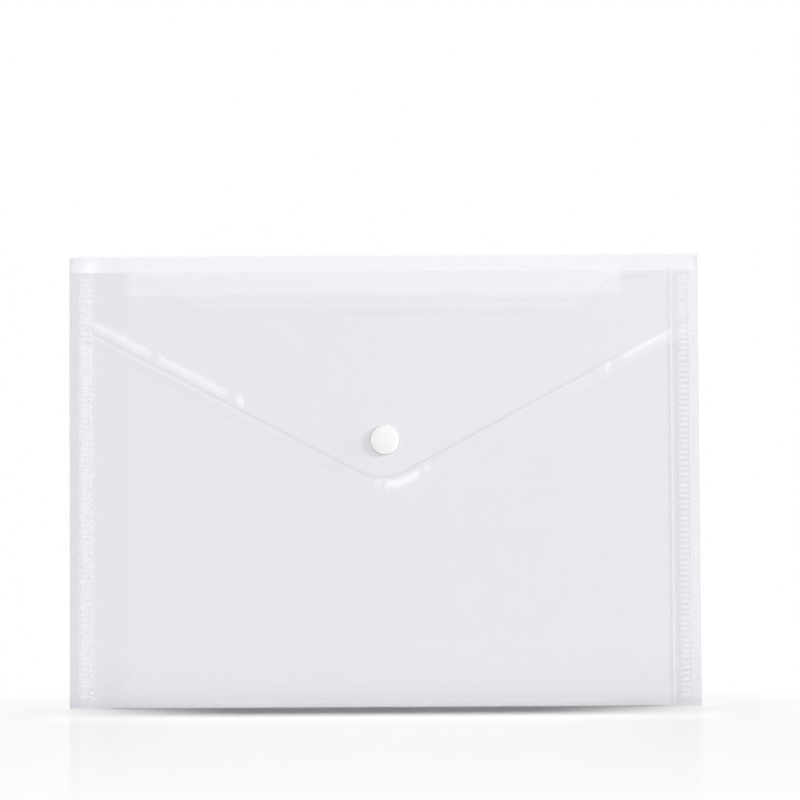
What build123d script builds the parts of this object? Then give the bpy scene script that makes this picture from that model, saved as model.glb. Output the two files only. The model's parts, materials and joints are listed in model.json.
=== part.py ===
"""Clear polypropylene document wallet with an envelope flap and a snap button.

The wallet stands on its bottom fold: X is its width, Y runs from front to back and Z is up. The origin is
at the bottom, in the middle of the box that holds the closed wallet. All sizes are in millimetres.
"""

from build123d import *
from math import atan, cos, degrees, hypot, radians, sqrt, tan
import os

# Overall size
wallet_width = 332.0
wallet_height = 238.4
film = 0.3
pocket_depth = 7.0

# Side welds: a plain edge outside each weld, and the melted film between the plies
edge_flange = 5.3
weld_width = 6.8
weld_melt = 0.5
weld_top_drop = 9.4
weld_rib_pitch = 2.9
weld_rib_length = 1.6
weld_rib_height = 0.25

# Bulge of the front panel beside each weld, and the fold under the pocket
bulge_run = 22.0
fold_radius = 1.2
fold_height = 4.0

# Mouth of the pocket with its thumb notch
mouth_drop = 7.6
notch_depth = 17.0
notch_width = 195.0
notch_slope = 43.0
notch_corner_radius = 9.0

# Creases at the top: the rear one joins the back panel, the front one the flap
crease_radius = 0.3
crease_room = 0.2
front_crease_drop = 9.9

# Flap and top strip: straight sides, then a point whose two edges meet below its rounded tip
flap_width = 327.0
flap_side_length = 32.4
flap_point_length = 123.1
flap_tip_radius = 55.0
flap_corner_radius = 6.0

# Pressed bead along the cut edges of the flap and of the mouth
bead_width = 5.4
bead_height = 0.7
bead_inset = 4.3
mouth_bead_end_margin = 2.0

# Snap button, placed above the point where the flap's two edges would meet
snap_point_rise = 34.7
cap_diameter = 15.4
cap_height = 2.8
cap_edge_radius = 0.9
cap_crown = 0.35
cap_post_diameter = 3.0
rivet_head_overhang = 0.7
rivet_head_height = 0.4
socket_diameter = 10.4
socket_height = 2.5
socket_floor = 0.6
socket_lip = 0.5
socket_undercut = 0.25
socket_edge_radius = 0.5
stud_base_diameter = 10.0
stud_base_height = 0.7
bulb_diameter = 4.6
bulb_height = 1.45
bulb_neck_depth = 0.3
bulb_top_wall = 0.5
backing_diameter = 11.0
backing_height = 1.2
backing_edge_radius = 0.5
backing_post_diameter = 2.4
snap_play = 0.2
rivet_play = 0.05

# How far a cut runs past what it cuts
overrun = 1.0

# Planes across the wallet, from back to front
snap_gap = socket_height + snap_play + stud_base_height
total_depth = 3 * film + pocket_depth + snap_gap + cap_height
back_outer_y = total_depth / 2
back_inner_y = back_outer_y - film
front_inner_y = back_inner_y - pocket_depth
front_outer_y = front_inner_y - film
flap_inner_y = front_outer_y - snap_gap
flap_outer_y = flap_inner_y - film
flange_inner_y = back_inner_y - weld_melt

# Lines up the wallet and across it
half_width = wallet_width / 2
flap_half_width = flap_width / 2
weld_outer_x = half_width - edge_flange
weld_inner_x = weld_outer_x - weld_width
level_x = weld_inner_x - bulge_run
mouth_z = wallet_height - mouth_drop
front_crease_z = wallet_height - front_crease_drop
point_z = front_crease_z - flap_point_length
snap_z = point_z + snap_point_rise

# Crease axes, along X
rear_crease = (back_outer_y - crease_radius, wallet_height - crease_radius)
front_crease = (flap_outer_y + crease_radius, front_crease_z)

# The bulge leaves the weld and meets the level front by two equal arcs
bulge_rise = pocket_depth - weld_melt
bulge_angle = degrees(2 * atan(bulge_rise / bulge_run))
bulge_radius = hypot(bulge_run, bulge_rise) ** 2 / (4 * bulge_rise)

# Slope of the flap's point, measured from the horizontal
point_slope = atan((flap_point_length - flap_side_length) / flap_half_width)


def wide_plane(y):
    """Plane at this depth that faces the front, with its own X along X and its own Y along Z."""
    return Plane(origin=(0, y, 0), x_dir=(1, 0, 0), z_dir=(0, -1, 0))


def front_line(offset):
    """Line of the front ply in plan, at this distance outside its inner face, from side to side."""
    flange = Line((half_width, flange_inner_y - offset), (weld_inner_x, flange_inner_y - offset))
    rise = JernArc(flange @ 1, flange % 1, bulge_radius - offset, bulge_angle)
    settle = JernArc(rise @ 1, rise % 1, bulge_radius + offset, -bulge_angle)
    level = Line(settle @ 1, (0, front_inner_y - offset))
    right = [flange, rise, settle, level]
    left = [edge.mirror(Plane.YZ) for edge in reversed(right)]
    return Wire([*right, *left])


def plan_face(line, y):
    """Face in plan between a front line and a straight line across the wallet at this depth."""
    right, left = line @ 0, line @ 1
    back = Polyline(left, (left.X, y), (right.X, y), right)
    return make_face([*line.edges(), *back.edges()])


def front_ply_face():
    """Section of the front ply in plan."""
    inner, outer = front_line(0), front_line(film)
    ends = [Line(inner @ share, outer @ share) for share in (0, 1)]
    return make_face([*inner.edges(), *outer.edges(), *ends])


def mouth_line(inset):
    """Line of the mouth in front view, this far below its cut edge, with the thumb notch."""
    corner_shift = inset * tan(radians(notch_slope) / 2)
    slope_run = notch_depth / tan(radians(notch_slope))
    low_x = notch_width / 2 + corner_shift
    high_x = low_x + slope_run
    high_z = mouth_z - inset
    low_z = high_z - notch_depth
    end_x = half_width + overrun
    points = [(end_x, high_z), (high_x, high_z), (low_x, low_z)]
    points += [(-x, z) for x, z in reversed(points)]
    outer_radius = notch_corner_radius - inset
    inner_radius = notch_corner_radius + inset
    radii = [outer_radius, inner_radius, inner_radius, outer_radius]
    return FilletPolyline(*points, radius=radii)


def point_bead_line():
    """Line of the flap's bead in front view, inside the cut edge of the point and past both sides."""
    tip_z = point_z + bead_inset / cos(point_slope)
    end_x = flap_half_width + bead_width
    end_z = tip_z + end_x * tan(point_slope)
    radius = flap_tip_radius - bead_inset
    return FilletPolyline((end_x, end_z), (0, tip_z), (-end_x, end_z), radius=radius)


def bead(line, y, skirt):
    """Rounded rib swept along a line in front view, on the plane at this depth, rooted skirt behind it."""
    path = wide_plane(y) * line
    start = Plane(origin=path @ 0, x_dir=(0, -1, 0), z_dir=path % 0)
    half = bead_width / 2
    arc = ThreePointArc((0, -half), (bead_height, 0), (0, half))
    root = Polyline((0, half), (-skirt, half), (-skirt, -half), (0, -half))
    return sweep(start * make_face([arc, *root.edges()]), path)


def press_bead(panel, line, hollow_line, outer_y):
    """Panel with a bead pressed out along a line, hollow behind so that the film stays even."""
    raised = panel + bead(line, outer_y, film / 2)
    return raised - bead(hollow_line, outer_y + film, overrun)


def snap_part(profile):
    """Turned snap moulding from its half section, drawn as radius and height, heights towards the front."""
    turned = revolve(Plane.XZ * profile, Axis.Z)
    return Plane(origin=(0, 0, snap_z), x_dir=(1, 0, 0), z_dir=(0, -1, 0)) * turned


def snap_hole(panel, post_diameter):
    """Panel with the hole for a rivet post."""
    hole = Cylinder(post_diameter / 2 + rivet_play, total_depth + overrun, rotation=(90, 0, 0))
    return panel - Pos(0, 0, snap_z) * hole


def half_section(*points):
    """Closed half section through points given as radius and height."""
    return make_face(Polyline(*points, close=True))


def make_back_panel():
    sheet = Pos(0, (back_inner_y + back_outer_y) / 2, fold_height) * Box(
        wallet_width,
        film,
        rear_crease[1] - fold_height,
        align=(Align.CENTER, Align.CENTER, Align.MIN),
    )
    return sheet + crease_roll(rear_crease, wallet_width)


def crease_roll(axis, width):
    """Rounded roll of film along a crease."""
    return Pos(0, *axis) * Cylinder(crease_radius, width, rotation=(0, 90, 0))


def make_front_panel():
    ply = Pos(0, 0, fold_height) * extrude(front_ply_face(), mouth_z + overrun - fold_height)
    line = mouth_line(0)
    top_z = mouth_z + 2 * overrun
    right, left = line @ 0, line @ 1
    above = Polyline((left.X, left.Y), (left.X, top_z), (right.X, top_z), (right.X, right.Y))
    notch = wide_plane(0) * make_face([*line.edges(), *above.edges()])
    ply -= extrude(notch, total_depth, both=True)
    bead_line, bead_end_x = mouth_line(bead_inset), level_x - mouth_bead_end_margin
    hollow_line = trimmed(bead_line, bead_end_x - film)
    ply = press_bead(ply, trimmed(bead_line, bead_end_x), hollow_line, front_outer_y)
    return snap_hole(ply, backing_post_diameter)


def trimmed(line, end_x):
    """The same line in front view, ended at this distance each side of the middle."""
    strip = Rectangle(2 * end_x, 2 * wallet_height)
    return Wire((line.wire() & strip).edges())


def make_bottom_fold():
    """Trough between the plies: the plan of the pocket cut by a channel with rounded corners."""
    depth = back_outer_y - front_outer_y
    outer = extrude(plan_face(front_line(film), back_outer_y), fold_height)
    inner = extrude(plan_face(front_line(0), back_inner_y), fold_height + overrun)
    return (outer & channel(depth, fold_radius, 0)) - (
        inner & channel(depth - 2 * film, fold_radius - film, film)
    )


def channel(depth, radius, floor_z):
    """Long bar with rounded lower edges that fills the pocket from its floor upwards."""
    middle_y = (back_outer_y + front_outer_y) / 2
    bar = Pos(0, middle_y, floor_z) * Box(
        wallet_width + overrun,
        depth,
        fold_height + overrun,
        align=(Align.CENTER, Align.CENTER, Align.MIN),
    )
    lower = bar.edges().filter_by(Axis.X).group_by(Axis.Z)[0]
    return fillet(lower, radius)


def make_side_weld(side):
    """Melted strip between the plies, with cross ribs on the front where the knurled wheel pressed."""
    front_y, valley_y = flange_inner_y, flange_inner_y + weld_rib_height
    top_z = wallet_height - weld_top_drop
    count = int((top_z - fold_height) / weld_rib_pitch)
    points = [(back_inner_y, fold_height)]
    for rib in range(count):
        low_z = fold_height + rib * weld_rib_pitch
        high_z = low_z + weld_rib_length
        next_z = low_z + weld_rib_pitch
        points += [(front_y, low_z), (front_y, high_z), (valley_y, high_z), (valley_y, next_z)]
    points += [(back_inner_y, fold_height + count * weld_rib_pitch)]
    comb = Plane.YZ * make_face(Polyline(*points, close=True))
    middle_x = side * (weld_inner_x + weld_outer_x) / 2
    return Pos(middle_x, 0, 0) * extrude(comb, weld_width / 2, both=True)


def make_top_strip():
    """Strip between the creases, short of both by the roll of film and a little room."""
    end_gap = crease_radius + crease_room
    rise = rear_crease[1] - front_crease[1]
    reach = rear_crease[0] - front_crease[0]
    strip = Box(flap_width, hypot(rise, reach) - 2 * end_gap, film)
    middle_y = (rear_crease[0] + front_crease[0]) / 2
    middle_z = (rear_crease[1] + front_crease[1]) / 2
    return Pos(0, middle_y, middle_z) * Rot(degrees(atan(rise / reach)), 0, 0) * strip


def make_flap():
    """Flat flap with a rounded point, a pressed bead inside its cut edge and the roll of its crease."""
    side_z = front_crease_z - flap_side_length
    edge = FilletPolyline(
        (flap_half_width, front_crease_z),
        (flap_half_width, side_z),
        (0, point_z),
        (-flap_half_width, side_z),
        (-flap_half_width, front_crease_z),
        radius=[flap_corner_radius, flap_tip_radius, flap_corner_radius],
    )
    outline = make_face([*edge.edges(), Line(edge @ 1, edge @ 0)])
    blank = extrude(wide_plane(flap_inner_y) * outline, film)
    pressed = press_bead(blank, point_bead_line(), point_bead_line(), flap_outer_y)
    pressed &= extrude(wide_plane(0) * outline, total_depth, both=True)
    return snap_hole(pressed, cap_post_diameter) + crease_roll(front_crease, flap_width)


def make_snap_cap():
    """Outer cap with a crowned face, and a post whose riveted end holds the socket."""
    radius, post = cap_diameter / 2, cap_post_diameter / 2
    seat = -flap_outer_y
    face = seat + cap_height
    shoulder = face - cap_crown
    floor = -flap_inner_y - socket_floor
    head = post + rivet_head_overhang
    crowned = radius - cap_edge_radius
    crown_radius = hypot(crowned, cap_crown) ** 2 / (2 * cap_crown)
    middle = face - crown_radius + sqrt(crown_radius**2 - (crowned / 2) ** 2)
    side = Line((radius, seat), (radius, shoulder - cap_edge_radius))
    edge = JernArc(side @ 1, side % 1, cap_edge_radius, 90)
    crown = ThreePointArc(edge @ 1, (crowned / 2, middle), (0, face))
    stem = Polyline(
        (0, face),
        (0, floor - rivet_head_height),
        (head, floor - rivet_head_height),
        (head, floor),
        (post, floor),
        (post, seat),
        (radius, seat),
    )
    return snap_part(make_face([side, edge, crown, *stem.edges()]))


def make_snap_socket():
    """Ring on the inside of the flap: a floor held by the cap's post, and a lip round its mouth."""
    radius, bore = socket_diameter / 2, cap_post_diameter / 2 + rivet_play
    mouth = bulb_diameter / 2 + snap_play
    cavity = mouth + socket_undercut
    seat = -flap_inner_y
    floor = seat - socket_floor
    rim = seat - socket_height
    section = half_section(
        (bore, seat),
        (radius, seat),
        (radius, rim),
        (mouth, rim),
        (mouth, rim + socket_lip),
        (cavity, rim + socket_lip),
        (cavity, floor),
        (bore, floor),
    )
    corner = section.vertices().sort_by(Axis.X)[-2:].sort_by(Axis.Y)[0]
    return snap_part(fillet(corner, socket_edge_radius))


def make_snap_stud():
    """Stud on the front panel: a base, and a bulb with a drawn-in neck, bored for the backing's post."""
    radius, bulb = stud_base_diameter / 2, bulb_diameter / 2
    bore = backing_post_diameter / 2 + rivet_play
    seat = -front_outer_y
    base = seat + stud_base_height
    top = base + bulb_height
    neck = bulb - bulb_neck_depth
    waist = base + bulb_height / 2
    bored = top - bulb_top_wall
    bulge = ThreePointArc((neck, base), (bulb, waist), (neck, top))
    body = Polyline(
        (neck, top),
        (0, top),
        (0, bored),
        (bore, bored),
        (bore, seat),
        (radius, seat),
        (radius, base),
        (neck, base),
    )
    return snap_part(make_face([bulge, *body.edges()]))


def make_stud_backing():
    """Disc inside the pocket, whose post goes through the front panel into the stud."""
    radius, post = backing_diameter / 2, backing_post_diameter / 2
    seat = -front_inner_y
    face = seat - backing_height
    end = -front_outer_y + stud_base_height + bulb_height - bulb_top_wall
    section = half_section((0, face), (radius, face), (radius, seat), (post, seat), (post, end), (0, end))
    corner = section.vertices().sort_by(Axis.X)[-2:].sort_by(Axis.Y)[0]
    return snap_part(fillet(corner, backing_edge_radius))


pieces = {
    "back_panel": make_back_panel(),
    "bottom_fold": make_bottom_fold(),
    "front_panel": make_front_panel(),
    "left_side_weld": make_side_weld(-1),
    "right_side_weld": make_side_weld(1),
    "top_strip": make_top_strip(),
    "flap": make_flap(),
    "snap_cap": make_snap_cap(),
    "snap_socket": make_snap_socket(),
    "snap_stud": make_snap_stud(),
    "stud_backing": make_stud_backing(),
}

os.makedirs("parts", exist_ok=True)
for name, piece in pieces.items():
    export_step(piece, f"parts/{name}.step")
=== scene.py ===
"""Looks of the clear snap-button document wallet.

The film is modelled as bent sheets of even thickness. The pocket sheet runs from the mouth round the bottom
fold to the rear crease, then come the top strip and the flap. The welds are knurled strips between the
plies. Lengths are millimetres in the wallet's own frame until a mesh, a lamp or the camera is made.
"""

import json
from math import acos, atan, cos, pi, radians, sin, tan

import bpy
import numpy as np
from mathutils import Matrix, Vector

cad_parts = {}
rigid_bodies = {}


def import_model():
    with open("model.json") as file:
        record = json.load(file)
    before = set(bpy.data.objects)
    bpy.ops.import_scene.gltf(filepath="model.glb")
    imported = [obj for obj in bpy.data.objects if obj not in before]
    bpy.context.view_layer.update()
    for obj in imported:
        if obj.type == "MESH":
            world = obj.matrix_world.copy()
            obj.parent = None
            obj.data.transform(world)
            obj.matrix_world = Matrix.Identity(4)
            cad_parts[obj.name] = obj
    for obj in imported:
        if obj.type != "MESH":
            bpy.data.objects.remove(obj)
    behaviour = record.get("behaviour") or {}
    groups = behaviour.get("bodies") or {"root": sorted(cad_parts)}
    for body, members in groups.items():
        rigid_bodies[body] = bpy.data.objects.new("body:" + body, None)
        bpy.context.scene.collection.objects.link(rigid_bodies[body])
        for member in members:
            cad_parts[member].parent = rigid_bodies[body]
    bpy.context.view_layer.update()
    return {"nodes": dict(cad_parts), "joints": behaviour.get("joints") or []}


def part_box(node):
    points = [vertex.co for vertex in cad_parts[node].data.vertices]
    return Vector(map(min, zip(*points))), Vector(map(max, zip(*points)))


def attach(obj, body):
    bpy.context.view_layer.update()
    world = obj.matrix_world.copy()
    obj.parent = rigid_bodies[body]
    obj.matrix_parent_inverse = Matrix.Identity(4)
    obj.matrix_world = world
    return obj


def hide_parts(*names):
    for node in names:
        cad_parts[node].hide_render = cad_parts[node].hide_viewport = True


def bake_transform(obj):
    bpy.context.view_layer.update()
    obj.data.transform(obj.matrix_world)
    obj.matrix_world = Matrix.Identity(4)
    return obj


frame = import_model()

MM = 0.001

# Film and the bead pressed along its cut edges, of whose height a share shows on the flap and on the mouth
film = 0.3
bead_width = 5.4
bead_height = 0.7
bead_inset = 4.3
flap_bead_share = 0.28
mouth_bead_share = 0.25
flap_bead_end_run = 12.0

# Curl of the border, inwards from the bead: heights at the left and the right, and its run
curl_heights = (0.12, 0.06)
curl_run = 9.0

# Mouth of the pocket with its thumb notch
notch_depth = 17.0
notch_width = 195.0
notch_slope = radians(43)
notch_corner_radius = 9.0
mouth_bead_end_margin = 2.0
mouth_bead_end_run = 4.0

# Bulge of the front beside the welds, and the roll under the pocket, as a share of its half depth
bulge_run = 22.0
roll_height_share = 2.3
roll_roundness = 2.3

# Mouldings of the snap button
snap_names = ("snap_cap", "snap_socket", "snap_stud", "stud_backing")

# Creases, and the flap, whose point lies a little to the left and askew
crease_bend_radius = 0.35
strip_bow = 0.15
flap_side_length = 32.4
flap_point_length = 119.3
flap_tip_radius = 34.0
flap_tip_x = -0.9
flap_skew = 0.0085
flap_corner_radius = 6.0

# Knurl of the welds: cross ribs, inside of which the left weld has a row of dots
rib_pitch = 2.9
rib_length = 1.7
rib_height = 0.15
rib_slope = 0.5
dot_height = 0.2
inner_margins = {"left_side_weld": 2.4, "right_side_weld": 1.3}
weld_foot = 2.5
weld_skin = 0.03

# Painted highlight streaks along the pressed border: inset from the cut edge, from x, to x, strength
painted_highlights = (
    (11.6, -151.0, -122.0, 0.27),
    (11.6, -118.0, -82.0, 0.27),
    (11.4, -77.0, -73.0, 0.45),
    (3.9, -5.4, -0.9, 0.17),
    (3.0, 0.5, 18.0, 0.45),
    (4.0, 20.5, 23.5, 0.2),
    (4.9, 115.5, 118.0, 0.3),
    (5.4, 125.5, 150.0, 0.22),
)
mouth_painted_highlights = ((4.3, 99.0, 121.0, 0.11),)
streak_half_width = 2.2
streak_end = 2.0

# Painted shade along the inner feet of the beads: its darkness at the left, in the middle and at the right
flap_line_strengths = (0.75, 1.0, 0.6)
mouth_line_strengths = (0.15, 0.26, 0.36)
foot_line_half_width = 1.0

# Painted shade line on the mouth's right shoulder: inset from the cut edge, from x, to x, darkness, half
# width
shoulder_line = (5.4, 124.5, 140.5, 1.0, 0.7)

# Painted light on the top strip and its left corner; welds' whiteness on ribs and in valleys, as painted
# light and shade
strip_painted_light = 0.12
corner_painted_highlight = 0.13
corner_highlight_x = (-158.0, -147.0)
weld_white_and_rib_shade = {"left_side_weld": (0.25, 0.165), "right_side_weld": (0.14, -0.34)}

# Painted lines in the front film beside the right weld, shade and one highlight: distance from it, darkness
# and half width
painted_weld_lines = ((3.3, 1.1, 0.9), (1.8, -1.1, 0.55), (0.8, 1.2, 0.6))

# Painted shade along the left edge and towards the bottom fold, and painted light along the right edge
painted_edge_shades = {-1: 0.3, 1: -0.12}
painted_fold_shade = 0.35
painted_fold_shade_height = 30.0

# Name of the mesh layer that holds the painted marks: light above 0 and shade below 0, and the welds'
# whiteness
mark_name = "painted_light_mark"

# Looks of the films: tint of what passes, colour of the haze, its share, and roughness of the shine
film_looks = {
    "front_film": ((0.998, 0.998, 0.999), (0.9, 0.905, 0.935), 0.02, 0.03),
    "flap_film": ((0.998, 0.998, 0.999), (0.86, 0.862, 0.89), 0.17, 0.02),
    "back_film": ((0.9, 0.907, 0.932), (0.9, 0.905, 0.935), 0.04, 0.05),
    "film_edge": ((0.8, 0.84, 0.9), (0.6, 0.66, 0.75), 0.25, 0.2),
    "welded_film": ((0.985, 0.985, 0.99), (0.8, 0.805, 0.835), 0.15, 0.25),
}
haze_roughness = 0.5

# Share of the light that each face of the film mirrors, seen straight on, and how it grows towards the edge
film_mirror_share = 0.04
mirror_power = 5

# Shares of the light that a face loses under full painted shade and where it is seen on edge
painted_shade_loss = 0.06
slant_loss = 0.25
slant_power = 2

# Haze that full painted light or weld whiteness adds, its colour, and the mark from which the haze has all
# of that colour
highlight_and_white_haze = 0.55
highlight_and_white_colour = (0.97, 0.975, 0.99)
highlight_and_white_from = 0.15

# White plastic of the snap mouldings
snap_colour = (0.935, 0.935, 0.93)
snap_roughness = 0.35

# Table: its colour, how rough it shines, and how far it reaches
table_colour = (0.9, 0.9, 0.9, 1)
table_roughness = 0.03
table_reach = 4000.0

# Share of the light from the table that is kept off the wallet
table_bounce_loss = 0.7

# Shares of the light that the table mirrors, in the shadow under the wallet and in front of it
table_mirror_shares = (0.1, 0.32)

# Distances over which the table gains its mirror, loses the shadow along the wallet and turns plain white
table_mirror_span = (10.0, 60.0)
shadow_span = (70.0, 205.0)
plain_span = (60.0, 360.0)

# How many times farther a distance counts behind the wallet and beside it
behind_stretch = 4
beside_stretch = 4

# Brightness of the room: on what scatters, and in mirrors in front at the left and right, and behind
room_light = 0.12
room_mirror_sides = (0.74, 0.82)
room_mirror_behind = 1.0
room_side_span = (-0.4, 0.4)
room_behind_span = (-0.2, 0.3)

# Lamps for all: place, target, width and height, and brightness of the surface
panel_lamp = ((-20.5, -990.0, 548.0), (-20.5, 0.0, 548.0), (517.0, 500.0), 0.42)
overhead_lamp = ((0.0, 80.0, 1300.0), (0.0, 80.0, 0.0), (1200.0, 90.0), 47.0)

# Lamps for the wallet alone, turned to one target: name, place, side and brightness of the surface
wallet_lamps = (
    ("key", (2000.0, -1150.0, 800.0), 350.0, 118.0),
    ("fill", (-900.0, -2000.0, 500.0), 1000.0, 3.55),
    ("rear", (-900.0, 2000.0, 700.0), 1000.0, 4.5),
)
wallet_lamp_target = (0.0, 0.0, 120.0)

# Watts for each square metre of a lamp whose surface has a brightness of 1
lamp_watts = 4

# Faces of film that light may pass in a row
film_passes = 48

# Plain colours
white = (1, 1, 1, 1)
black = (0, 0, 0, 1)

# Slow waves left in the film, each with its height, its length across and its length up
front_waves = ((0.12, 190.0, 260.0), (0.05, 83.0, 140.0))
back_waves = ((0.10, 150.0, 330.0), (0.05, 97.0, 120.0))
flap_waves = ((0.015, 240.0, 200.0),)

# Share of the pocket's height over which the waves fade at the top and the bottom
wave_fade_share = 0.2

# Rows of points down the sheets and columns across them, which the pocket has closer from the notch outwards
edge_row_count, bead_row_count, curl_row_count = 4, 19, 19
panel_row_count = 26
roll_row_count = 49
strip_row_count = 12
flap_row_count = 24
rib_row_count = 12
bend_steps = 20
notch_column_x = 88.0
pocket_column_counts = (23, 49, 21, 7)
strip_column_count = 83
flap_column_count = 121
flap_corner_column_count = 13
weld_column_counts = (11, 19)

# Turn between two faces from which their edge looks sharp
sharp_angle = radians(14)

# Camera, found from the corners of the wallet in the photo
camera_place = (11.2, -989.9, 134.0)
camera_pitch = radians(1.57)
camera_yaw = radians(0.16)
camera_roll = radians(-0.33)
camera_lens = 85.0


def cad_box(node):
    """Lowest and highest corner of a CAD node."""
    low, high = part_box(node)
    return low / MM, high / MM


def crease_axis(name):
    """Depth and height of a crease's axis."""
    place = next(joint["pos_m"] for joint in frame["joints"] if joint["name"] == name)
    return np.array(place[1:]) / MM


# Planes and lines that the frame gives: depths are those of the middle of the film
back_high = cad_box("back_panel")[1]
front_low, front_high = cad_box("front_panel")
flap_low, flap_high = cad_box("flap")
weld_low, weld_high = cad_box("right_side_weld")
half_width = back_high.x
back_y = back_high.y - film / 2
front_y = front_low.y + bead_height + film / 2
flange_y = front_high.y - film / 2
flap_y = flap_low.y + bead_height + film / 2
mouth_z = front_high.z
flap_half_width = flap_high.x
weld_inner_x, weld_outer_x = weld_low.x, weld_high.x
level_x = weld_inner_x - bulge_run
rear_axis, front_axis = crease_axis("rear_crease"), crease_axis("front_crease")
point_z = front_axis[1] - flap_point_length
point_slope = atan((flap_point_length - flap_side_length) / flap_half_width)

# Corners where the line of the top strip meets the back and the flap
strip_slope = (rear_axis[1] - front_axis[1]) / (rear_axis[0] - front_axis[0])
rear_corner = np.array((back_y, rear_axis[1] + (back_y - rear_axis[0]) * strip_slope))
front_corner = np.array((flap_y, front_axis[1] + (flap_y - front_axis[0]) * strip_slope))


def smooth_step(share):
    """Eases from 0 to 1."""
    share = np.clip(share, 0, 1)
    return share * share * (3 - 2 * share)


def corner_arc(before, corner, after, radius):
    """Points of the arc that rounds a corner between two straight lines."""
    before, corner, after = (np.array(point, float) for point in (before, corner, after))
    back = (before - corner) / np.linalg.norm(before - corner)
    onward = (after - corner) / np.linalg.norm(after - corner)
    half = acos(np.clip(back @ onward, -1, 1)) / 2
    bisector = (back + onward) / np.linalg.norm(back + onward)
    centre = corner + bisector * radius / sin(half)
    start, end = (corner + way * radius / tan(half) - centre for way in (back, onward))
    turn = pi - 2 * half
    shares = np.linspace(0, 1, bend_steps + 1)[:, None]
    return centre + (np.sin((1 - shares) * turn) * start + np.sin(shares * turn) * end) / sin(turn)


# Bends of the film at the two creases, each from the back to the front
rear_arc = corner_arc((back_y, 0), rear_corner, front_corner, crease_bend_radius)
front_arc = corner_arc(rear_corner, front_corner, (flap_y, 0), crease_bend_radius)


def rounded_path(corners, radii):
    """Points along a line whose inner corners are rounded, each to its own radius."""
    arcs = [corner_arc(*corners[i : i + 3], radius) for i, radius in enumerate(radii)]
    return np.concatenate([[corners[0]], *arcs, [corners[-1]]])


def mouth_line(x, inset):
    """Height of the line that runs this far below the cut edge of the mouth."""
    low_x = notch_width / 2 + inset * tan(notch_slope / 2)
    high_x = low_x + notch_depth / tan(notch_slope)
    high_z = mouth_z - inset
    right = [(low_x, high_z - notch_depth), (high_x, high_z), (half_width + notch_width, high_z)]
    left = [(-px, pz) for px, pz in reversed(right)]
    outer_radius = max(notch_corner_radius - inset, film)
    inner_radius = notch_corner_radius + inset
    path = rounded_path(left + right, [outer_radius, inner_radius, inner_radius, outer_radius])
    return np.interp(x, *path.T)


def point_line(x, inset):
    """Height of the line that runs this far inside the two slanted edges of the flap."""
    tip_z = point_z + inset / cos(point_slope)
    end_z = tip_z + half_width * tan(point_slope)
    corners = [(-half_width, end_z), (flap_tip_x, tip_z), (half_width, end_z)]
    path = rounded_path(corners, [flap_tip_radius - inset])
    return np.interp(x, *path.T) + flap_skew * x


def flap_cut_line(x):
    """Height of the flap's cut edge, with its rounded corners at the sides."""
    side_z = front_axis[1] - flap_side_length
    right = [(flap_half_width, side_z), (flap_half_width, front_axis[1])]
    left = [(-px, pz) for px, pz in reversed(right)]
    radii = [flap_corner_radius, flap_tip_radius, flap_corner_radius]
    path = rounded_path([*left, (flap_tip_x, point_z), *right], radii)[1:-1]
    return np.interp(x, *path.T) + flap_skew * x


def pressed(x, inset, share):
    """How far the film stands out at this distance from a cut edge. The left of the border curls most."""
    half, height = bead_width / 2, bead_height * share
    curl_height = np.interp(x, (-half_width, half_width), curl_heights)
    radius = (half**2 + height**2) / (2 * height)
    across = np.clip(inset - bead_inset, -half, half)
    bead = np.sqrt(radius**2 - across**2) - (radius - height)
    curl = curl_height * smooth_step(1 - (inset - bead_inset - half) / curl_run)
    return bead + curl


def streak_share(x, inset, place, start, end, reach):
    """Share of a streak at a point: 1 on its line, at this place from the edge, and 0 well away from it."""
    along = smooth_step((x - start) / streak_end + 0.5) * smooth_step((end - x) / streak_end + 0.5)
    return along * np.exp(-(((inset - place) / reach) ** 2))


def border_marks(x, inset, line_strengths, streaks):
    """Painted marks on the film: shade below 0 along the bead's inner foot, highlight streaks above 0."""
    foot = bead_inset + bead_width / 2
    strength = np.interp(x, (-half_width, 0, half_width), line_strengths)
    marks = -strength * np.exp(-(((inset - foot) / foot_line_half_width) ** 2))
    for *streak, strength in streaks:
        marks = marks + (strength - marks) * streak_share(x, inset, *streak, streak_half_width)
    return marks


def border_insets():
    """Distances from a cut edge at which the border's rows lie, close together on the bead."""
    half = bead_width / 2
    outer, inner = bead_inset - half, bead_inset + half
    bead = np.linspace(outer, inner, bead_row_count)
    edge = np.linspace(0, outer, edge_row_count)
    curl = np.linspace(inner, inner + curl_run, curl_row_count)
    return np.concatenate([edge[:-1], bead, curl[1:]])


def front_depth(x):
    """Depth of the front ply in plan: flat on the weld, then it eases out to the level front."""
    return front_y + (flange_y - front_y) * smooth_step((np.abs(x) - level_x) / bulge_run)


def waves(x, z, kinds):
    """Slow waves in a sheet of film."""
    total = 0 * (x + z)
    for number, (height, across, up) in enumerate(kinds):
        total = total + height * np.sin(2 * pi * x / across + number) * np.cos(2 * pi * z / up + 2 * number)
    return total


def add_waves(rows, x, kinds, way, share, ends, run):
    """Moves rows of points one way along Y by a sheet's waves, which fade out towards its two ends."""
    low_z, high_z = ends
    for points in rows:
        z = points[:, 2]
        fade = smooth_step((z - low_z) / run) * smooth_step((high_z - z) / run)
        points[:, 1] += way * waves(x, z, kinds) * share * fade


def between(first, last, count):
    """Rows that lead from one row to another, without either."""
    shares = np.linspace(0, 1, count + 2)[1:-1]
    return [first + (last - first) * share for share in shares]


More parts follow.
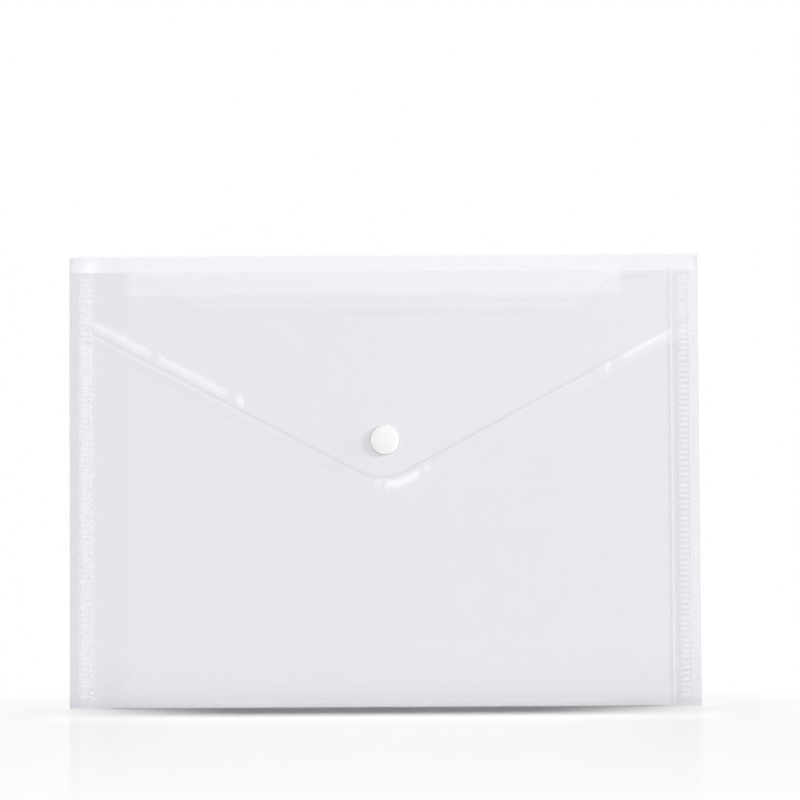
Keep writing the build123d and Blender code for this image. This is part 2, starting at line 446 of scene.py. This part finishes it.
def closed_sheet(name, outer, inner, materials, row_slots, marks, cut_rows=(True, True)):
    """Sheet mesh between two grids of points of the same shape, with a rim along its cut edges.

    The last material is the rim's, row_slots gives the material of each row of faces, and marks a value for
    each point of a grid. cut_rows tells whether the first and last rows are cut edges or join another sheet.
    """
    rows, columns = outer.shape[:2]
    count = rows * columns
    index = np.arange(count).reshape(rows, columns)
    a, b, c, d = index[:-1, :-1], index[:-1, 1:], index[1:, 1:], index[1:, :-1]
    front = np.stack([a, d, c, b], -1).reshape(-1, 4)
    rear = np.stack([a, b, c, d], -1).reshape(-1, 4) + count
    edges = [index[:, -1], index[::-1, 0]]
    edges += [edge for edge, cut in zip((index[0], index[-1, ::-1]), cut_rows) if cut]
    starts, ends = (np.concatenate([edge[part] for edge in edges]) for part in (slice(-1), slice(1, None)))
    rim = np.stack([starts, ends, ends + count, starts + count], -1)
    vertices = np.concatenate([outer.reshape(-1, 3), inner.reshape(-1, 3)]) * MM
    faces = np.concatenate([front, rear, rim])
    mesh = bpy.data.meshes.new(name)
    mesh.from_pydata(vertices.tolist(), [], faces.tolist())
    for material in materials:
        mesh.materials.append(material)
    face_slots = np.repeat(row_slots, columns - 1)
    slots = np.concatenate([face_slots, face_slots, np.full(len(rim), len(materials) - 1)])
    mesh.polygons.foreach_set("material_index", slots.astype(np.int32))
    mesh.polygons.foreach_set("use_smooth", np.ones(len(faces), bool))
    mesh.set_sharp_from_angle(angle=sharp_angle)
    layer = mesh.attributes.new(mark_name, "FLOAT", "POINT")
    layer.data.foreach_set("value", np.tile(marks.ravel(), 2).astype(np.float32))
    piece = bpy.data.objects.new(name, mesh)
    bpy.context.scene.collection.objects.link(piece)
    return piece


def film_sheet(name, rows, marks, materials, row_slots, cut_rows):
    """Film of even thickness along rows of points, which run from its outer top downwards."""
    grid = np.stack(rows)
    across, along = np.gradient(grid, axis=1), np.gradient(grid, axis=0)
    normal = np.cross(along, across)
    normal *= film / 2 / np.linalg.norm(normal, axis=-1, keepdims=True)
    piece = closed_sheet(name, grid + normal, grid - normal, materials, row_slots, marks, cut_rows)
    return piece


def row(x, y, z):
    """Row of points across the sheet."""
    return np.stack(np.broadcast_arrays(x, y, z), -1)


def pocket_columns():
    """Places across the pocket sheet."""
    stops = (0, notch_column_x, level_x, weld_inner_x, half_width)
    spans = [np.linspace(*span) for span in zip(stops, stops[1:], pocket_column_counts)]
    right = np.concatenate([*(span[:-1] for span in spans[:-1]), spans[-1]])
    return np.concatenate([-right[:0:-1], right])


def mouth_rows(x, depth):
    """Rows of the pressed border along the mouth, and the painted shade and highlights on them."""
    bead_end = level_x - mouth_bead_end_margin
    bead_share = smooth_step((bead_end - np.abs(x)) / mouth_bead_end_run)
    *shoulder, darkness, reach = shoulder_line
    rows, marks = [], []
    for inset in border_insets():
        stands_out = pressed(x, inset, mouth_bead_share) * bead_share
        rows.append(row(x, depth - stands_out, mouth_line(x, inset)))
        # Painted shade along the bead's foot and the shoulder, and a painted highlight streak
        on_bead = border_marks(x, inset, mouth_line_strengths, mouth_painted_highlights) * bead_share
        marks.append(on_bead - darkness * streak_share(x, inset, *shoulder, reach))
    return rows, marks


def roll_rows(x, depth, top):
    """Rows round the roll under the pocket, from the front to the back."""
    middle, half = (back_y + depth) / 2, (back_y - depth) / 2
    rows = []
    for turn in np.linspace(0, pi, roll_row_count):
        lean = np.sign(cos(turn)) * abs(cos(turn)) ** (2 / roll_roundness)
        drop = abs(sin(turn)) ** (2 / roll_roundness)
        rows.append(row(x, middle - half * lean, top - (top - film / 2) * drop))
    return rows


def pocket_marks(rows, x, mouth_marks, back_start):
    """Painted shade and light on the pocket sheet: at its edges and fold, by the right weld and along the
    mouth.
    """
    height = np.stack(rows)[:, :, 2]
    shade = painted_fold_shade * smooth_step(1 - height / painted_fold_shade_height)
    for side, side_shade in painted_edge_shades.items():
        shade = shade + side_shade * smooth_step((side * x - weld_outer_x) / film)
    for distance, darkness, reach in painted_weld_lines:
        shade[:back_start] += darkness * np.exp(-(((weld_inner_x - x - distance) / reach) ** 2))
    shade[: len(mouth_marks)] -= mouth_marks
    return -shade


def make_pocket_sheet():
    """Front with its mouth, the roll at the bottom and the back, in one sheet of film."""
    x = pocket_columns()
    depth = front_depth(x)
    roll_top = film / 2 + roll_height_share * (back_y - depth) / 2
    level = smooth_step((weld_inner_x - np.abs(x)) / bulge_run)
    fade_run = wave_fade_share * (mouth_z - roll_top)

    mouth, mouth_marks = mouth_rows(x, depth)
    front = between(mouth[-1], row(x, depth, roll_top), panel_row_count)
    add_waves(front, x, front_waves, -1, level, (roll_top, mouth_z - notch_depth), fade_run)
    roll = roll_rows(x, depth, roll_top)
    top = row(x, back_y, rear_arc[0, 1])
    back = between(roll[-1], top, panel_row_count)
    add_waves(back, x, back_waves, 1, level, (roll_top, mouth_z), fade_run)

    rows = [*mouth, *front, *roll, *back, top]
    back_start = len(mouth) + len(front) + len(roll) // 2
    row_slots = (np.arange(len(rows) - 1) >= back_start).astype(int)
    marks = pocket_marks(rows, x, mouth_marks, back_start)
    films = [front_film, back_film, film_edge]
    piece = film_sheet("pocket_sheet", rows, marks, films, row_slots, (True, False))
    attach(piece, "pocket")
    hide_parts("front_panel", "bottom_fold", "back_panel")


def make_top_strip():
    """Strip between the creases, bowed a little, with the bend of the rear crease."""
    x = np.linspace(-flap_half_width, flap_half_width, strip_column_count)
    rows = [row(x, *point) for point in rear_arc]
    along = front_arc[0] - rear_arc[-1]
    out = np.array((along[1], -along[0])) / np.linalg.norm(along)
    for share in np.linspace(0, 1, strip_row_count)[1:]:
        bow = strip_bow * (1 - (2 * share - 1) ** 2)
        rows.append(row(x, *(rear_arc[-1] + along * share + out * bow)))
    # Painted light over the strip, and a painted highlight at its lower left corner
    lower = smooth_step(2 * np.arange(len(rows)) / len(rows) - 1)[:, None]
    corner_highlight = smooth_step((x - corner_highlight_x[0]) / streak_end) * smooth_step((corner_highlight_x[1] - x) / streak_end)
    marks = strip_painted_light + corner_painted_highlight * lower * corner_highlight
    row_slots = np.zeros(len(rows) - 1, int)
    piece = film_sheet("top_strip_film", rows, marks, [front_film, film_edge], row_slots, (False, False))
    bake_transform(piece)
    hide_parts("top_strip")


def make_flap():
    """Flap with a rounded point and a bead along its cut edge, with the bend of the front crease."""
    corner_x = flap_half_width - flap_corner_radius
    side = np.concatenate([
        np.linspace(0, corner_x, flap_column_count)[:-1],
        corner_x + flap_corner_radius * np.sin(np.linspace(0, pi / 2, flap_corner_column_count)),
    ])
    x = np.concatenate([-side[:0:-1], side])
    corner_lift = flap_cut_line(x) - point_line(x, 0)
    border_end = border_insets()[-1]

    rows = [row(x, *point) for point in front_arc]
    bead_share = smooth_step((flap_half_width - np.abs(x)) / flap_bead_end_run)
    border, border_values = [], []
    for inset in border_insets()[::-1]:
        lift = corner_lift * smooth_step(1 - inset / border_end)
        stands_out = pressed(x, inset, flap_bead_share) * bead_share
        border.append(row(x, flap_y - stands_out, point_line(x, inset) + lift))
        # Painted shade along the bead's foot, and painted highlight streaks
        border_values.append(border_marks(x, inset, flap_line_strengths, painted_highlights) * bead_share)
    field = between(rows[-1], border[0], flap_row_count)
    marks = np.stack([0 * x] * (len(rows) + len(field)) + border_values)
    for points in field:
        fade = smooth_step((front_axis[1] - points[:, 2]) / curl_run)
        points[:, 1] -= waves(x, points[:, 2], flap_waves) * fade
    rows = [*rows, *field, *border]
    row_slots = np.zeros(len(rows) - 1, int)
    piece = film_sheet("flap_film", rows, marks, [flap_film, film_edge], row_slots, (False, True))
    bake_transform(piece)
    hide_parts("flap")


def make_weld(name, side):
    """Strip of melted film with cross ribs in front, and a row of dots along the left one's inner edge."""
    high_z = cad_box(name)[1].z
    width, margin = weld_outer_x - weld_inner_x, inner_margins[name]
    stops = (0, margin, width)
    dotted, ribbed = (np.linspace(*span) for span in zip(stops, stops[1:], weld_column_counts))
    across = np.concatenate([dotted[:-1], ribbed])
    count = int((high_z - weld_foot) / rib_pitch)
    z = high_z - np.arange(count * rib_row_count + 1) / rib_row_count * rib_pitch
    phase = np.abs((high_z - z) / rib_pitch % 1 - 0.5) * rib_pitch
    rib = smooth_step((rib_length / 2 + rib_slope / 2 - phase) / rib_slope)[:, None]
    rib_ends = smooth_step(np.minimum(across - margin, width - across) / rib_slope)
    relief = rib_height * rib * rib_ends
    if side < 0:
        relief = relief + dot_height * rib * np.sqrt(np.clip(1 - (2 * across / margin - 1) ** 2, 0, 1))
    x = weld_inner_x + across
    outer_y, inner_y = flange_y - film / 2 - weld_skin, back_y - film / 2 - weld_skin
    outer = np.stack(np.broadcast_arrays(x, outer_y - relief, z[:, None]), -1)
    inner = np.stack(np.broadcast_arrays(x, inner_y, z[:, None]), -1)
    # Weld whiteness, lighter on the ribs and darker in the valleys as painted light and shade
    high, low = weld_white_and_rib_shade[name]
    marks = low + (high - low) * relief / relief.max()
    if side < 0:
        outer, inner = (grid[:, ::-1] * (-1, 1, 1) for grid in (outer, inner))
        marks = marks[:, ::-1]
    piece = closed_sheet(f"{name}_knurl", outer, inner, [welded_film], np.zeros(len(z) - 1, int), marks)
    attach(piece, "pocket")
    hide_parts(name)


def feed(tree, socket, value):
    """Gives a socket another socket's value, or a fixed one."""
    if isinstance(value, bpy.types.NodeSocket):
        tree.links.new(value, socket)
    else:
        socket.default_value = value


def maths(tree, operation, *values):
    """Output of a maths node."""
    node = tree.nodes.new("ShaderNodeMath")
    node.operation = operation
    for socket, value in zip(node.inputs, values):
        feed(tree, socket, value)
    return node.outputs["Value"]


def vector_maths(tree, operation, first, second=None):
    """Output of a vector maths node on a socket and, if given, a second one or a fixed vector."""
    node = tree.nodes.new("ShaderNodeVectorMath")
    node.operation = operation
    tree.links.new(first, node.inputs[0])
    if second is not None:
        feed(tree, node.inputs[1], second)
    return node.outputs["Value" if operation == "LENGTH" else "Vector"]


def mix(tree, kind, share, first, second):
    """Output of a node that blends two values of a kind, FLOAT or RGBA."""
    node = tree.nodes.new("ShaderNodeMix")
    node.data_type = kind
    for name, value in (("Factor", share), ("A", first), ("B", second)):
        feed(tree, node.inputs[name], value)
    return node.outputs["Result"]


def mix_shader(tree, share, first, second):
    """Output of a node that blends two shaders."""
    node = tree.nodes.new("ShaderNodeMixShader")
    for socket, value in zip(node.inputs, (share, first, second)):
        feed(tree, socket, value)
    return node.outputs["Shader"]


def map_range(tree, value, span, result, eased=False):
    """Output of a node that maps one span of values to another."""
    node = tree.nodes.new("ShaderNodeMapRange")
    node.interpolation_type = "SMOOTHSTEP" if eased else "LINEAR"
    node.inputs["From Min"].default_value, node.inputs["From Max"].default_value = span
    node.inputs["To Min"].default_value, node.inputs["To Max"].default_value = result
    tree.links.new(value, node.inputs["Value"])
    return node.outputs["Result"]


def new_material(name):
    """Material with an empty node tree and its output node."""
    material = bpy.data.materials.new(name)
    material.use_nodes = True
    material.node_tree.nodes.clear()
    output = material.node_tree.nodes.new("ShaderNodeOutputMaterial")
    return material, material.node_tree, output


def film_material(name, tint, haze_colour, haze, roughness):
    """Clear film: light goes through with a tint, a little scatters, and the surface shines by its angle."""
    material, tree, output = new_material(name)
    # The mark layer holds painted shade below 0, which dims what passes, and painted light above 0, as white
    # haze
    layer = tree.nodes.new("ShaderNodeAttribute")
    layer.attribute_name = mark_name
    mark = layer.outputs["Fac"]
    facing = tree.nodes.new("ShaderNodeLayerWeight").outputs["Facing"]

    on_line = map_range(tree, mark, (0, -1), (0, painted_shade_loss))
    lost = maths(tree, "MULTIPLY_ADD", maths(tree, "POWER", facing, slant_power), slant_loss, on_line)
    clear = tree.nodes.new("ShaderNodeBsdfTransparent")
    feed(tree, clear.inputs["Color"], mix(tree, "RGBA", lost, (*tint, 1), black))

    paleness = map_range(tree, mark, (0, highlight_and_white_from), (0, 1))
    colour = mix(tree, "RGBA", paleness, (*haze_colour, 1), (*highlight_and_white_colour, 1))
    milky = tree.nodes.new("ShaderNodeBsdfPrincipled")
    milky.inputs["Roughness"].default_value = haze_roughness
    feed(tree, milky.inputs["Base Color"], colour)

    shine = tree.nodes.new("ShaderNodeBsdfGlossy")
    shine.inputs["Color"].default_value = white
    shine.inputs["Roughness"].default_value = roughness

    whiteness = map_range(tree, mark, (0, 1), (haze, haze + highlight_and_white_haze))
    body = mix_shader(tree, whiteness, clear.outputs["BSDF"], milky.outputs["BSDF"])
    slanted = maths(tree, "POWER", facing, mirror_power)
    mirror = maths(tree, "MULTIPLY_ADD", slanted, 1 - film_mirror_share, film_mirror_share)
    surface = mix_shader(tree, mirror, body, shine.outputs["BSDF"])
    tree.links.new(surface, output.inputs["Surface"])
    return material


def plastic_material(name, colour, roughness):
    """Moulded plastic."""
    material, tree, output = new_material(name)
    surface = tree.nodes.new("ShaderNodeBsdfPrincipled")
    surface.inputs["Base Color"].default_value = (*colour, 1)
    surface.inputs["Roughness"].default_value = roughness
    tree.links.new(surface.outputs["BSDF"], output.inputs["Surface"])
    return material


def paint_snaps(material):
    """White plastic on the four snap mouldings, which keep their CAD shape."""
    for name in snap_names:
        node = frame["nodes"][name]
        node.data.materials.clear()
        node.data.materials.append(material)


def table_distances(tree):
    """Outputs for a point of the table: how far it is from the wallet, and how far along the wallet."""
    point = tree.nodes.new("ShaderNodeTexCoord").outputs["Object"]
    left_and_front = vector_maths(tree, "MULTIPLY", point, (-1, -1, 0))
    right_and_back = vector_maths(tree, "MULTIPLY", point, (1, behind_stretch, 0))
    side = vector_maths(tree, "MAXIMUM", left_and_front, right_and_back)
    beyond = vector_maths(tree, "SUBTRACT", side, (half_width * MM, 0, 0))
    outside = vector_maths(tree, "MAXIMUM", beyond, (0, 0, 0))
    away = vector_maths(tree, "LENGTH", vector_maths(tree, "MULTIPLY", outside, (beside_stretch, 1, 0)))
    along = vector_maths(tree, "LENGTH", vector_maths(tree, "MULTIPLY", side, (1, 0, 0)))
    return away, along


def table_material():
    """White gloss that keeps the wallet's shadow and reflection.

    The shadow fades towards the sides. Farther off, and sooner at the sides and behind than in front, the
    table is plain white for the camera, and open to the room for what mirrors it.
    """
    material, tree, output = new_material("white_table")
    away, along = table_distances(tree)
    mirror, lit, plain = (
        map_range(tree, distance, [end * MM for end in span], shares, eased=True)
        for distance, span, shares in (
            (away, table_mirror_span, table_mirror_shares),
            (along, shadow_span, (0, 1)),
            (away, plain_span, (0, 1)),
        )
    )
    surface = tree.nodes.new("ShaderNodeBsdfPrincipled")
    surface.inputs["Base Color"].default_value = table_colour
    surface.inputs["Specular IOR Level"].default_value = 0
    glow = tree.nodes.new("ShaderNodeEmission").outputs["Emission"]
    shine = tree.nodes.new("ShaderNodeBsdfGlossy")
    shine.inputs["Roughness"].default_value = table_roughness
    nothing = tree.nodes.new("ShaderNodeBsdfTransparent").outputs["BSDF"]

    ray = tree.nodes.new("ShaderNodeLightPath").outputs
    lit_share, plain_share = (maths(tree, "MULTIPLY", share, ray["Is Camera Ray"]) for share in (lit, plain))
    shaded = mix_shader(tree, lit_share, surface.outputs["BSDF"], glow)
    polished = mix_shader(tree, mirror, shaded, shine.outputs["BSDF"])
    near = mix_shader(tree, plain_share, polished, glow)
    mirrored = maths(tree, "MULTIPLY", plain, ray["Is Glossy Ray"])
    open_share = maths(tree, "MULTIPLY_ADD", ray["Is Diffuse Ray"], table_bounce_loss, mirrored)
    tree.links.new(mix_shader(tree, open_share, near, nothing), output.inputs["Surface"])
    return material


def make_floor():
    """Table that the wallet stands on."""
    mesh = bpy.data.meshes.new("floor")
    corners = [(-1, -1, 0), (1, -1, 0), (1, 1, 0), (-1, 1, 0)]
    mesh.from_pydata([Vector(corner) * table_reach * MM for corner in corners], [], [(0, 1, 2, 3)])
    mesh.materials.append(table_material())
    floor = bpy.data.objects.new("floor", mesh)
    bpy.context.scene.collection.objects.link(floor)


def make_world():
    """Studio room: plain white for the camera, a bright room in mirrors and a softer light on the rest."""
    world = bpy.data.worlds.new("studio")
    bpy.context.scene.world = world
    world.use_nodes = True
    tree = world.node_tree
    tree.nodes.clear()
    output = tree.nodes.new("ShaderNodeOutputWorld")
    direction = tree.nodes.new("ShaderNodeTexCoord")
    parts = tree.nodes.new("ShaderNodeSeparateXYZ")
    tree.links.new(direction.outputs["Generated"], parts.inputs["Vector"])
    in_front = map_range(tree, parts.outputs["X"], room_side_span, room_mirror_sides)
    behind = map_range(tree, parts.outputs["Y"], room_behind_span, (0, 1))
    mirrored = mix(tree, "FLOAT", behind, in_front, room_mirror_behind)
    ray = tree.nodes.new("ShaderNodeLightPath").outputs
    room = mix(tree, "FLOAT", ray["Is Glossy Ray"], room_light, mirrored)
    light = tree.nodes.new("ShaderNodeBackground")
    light.inputs["Color"].default_value = white
    feed(tree, light.inputs["Strength"], mix(tree, "FLOAT", ray["Is Camera Ray"], room, 1))
    tree.links.new(light.outputs["Background"], output.inputs["Surface"])


def soft_box(name, place, target, size, radiance, mirrored=False):
    """Rectangular lamp at a place, turned to a target, as bright as its surface looks."""
    lamp = bpy.data.lights.new(name, "AREA")
    lamp.shape = "RECTANGLE"
    lamp.size, lamp.size_y = (side * MM for side in size)
    lamp.energy = radiance * lamp_watts * lamp.size * lamp.size_y
    box = bpy.data.objects.new(name, lamp)
    box.location = Vector(place) * MM
    box.rotation_euler = (Vector(target) - Vector(place)).to_track_quat("-Z", "Y").to_euler()
    box.visible_glossy = mirrored
    bpy.context.scene.collection.objects.link(box)
    return box


def make_lamps():
    """Panel that the flap mirrors, a long box over the table, and three lamps for the wallet alone.

    The film lets those three through, so that only the snap mouldings cast their shadows.
    """
    soft_box("panel", *panel_lamp, mirrored=True)
    soft_box("overhead", *overhead_lamp)
    wallet, snaps = (bpy.data.collections.new(name) for name in ("wallet", "snaps"))
    for piece in bpy.context.scene.objects:
        if piece.type == "MESH" and piece.name != "floor":
            wallet.objects.link(piece)
    for name in snap_names:
        snaps.objects.link(frame["nodes"][name])
    for name, place, size, radiance in wallet_lamps:
        box = soft_box(name, place, wallet_lamp_target, (size, size), radiance)
        box.light_linking.receiver_collection = wallet
        box.light_linking.blocker_collection = snaps


def make_camera():
    """Camera of the photo."""
    data = bpy.data.cameras.new("camera")
    data.lens = camera_lens
    camera = bpy.data.objects.new("camera", data)
    level = Matrix.Rotation(radians(90) + camera_pitch, 4, "X")
    aim = Matrix.Rotation(camera_yaw, 4, "Z") @ level @ Matrix.Rotation(camera_roll, 4, "Z")
    camera.matrix_world = Matrix.Translation(Vector(camera_place) * MM) @ aim
    bpy.context.scene.collection.objects.link(camera)
    bpy.context.scene.camera = camera


front_film, flap_film, back_film, film_edge, welded_film = (
    film_material(name, *look) for name, look in film_looks.items()
)
snap_plastic = plastic_material("snap_plastic", snap_colour, snap_roughness)

make_pocket_sheet()
make_top_strip()
make_flap()
make_weld("left_side_weld", -1)
make_weld("right_side_weld", 1)
paint_snaps(snap_plastic)
make_floor()
make_world()
make_lamps()
make_camera()

scene = bpy.context.scene
scene.view_settings.view_transform = "Standard"
scene.cycles.transparent_max_bounces = film_passes
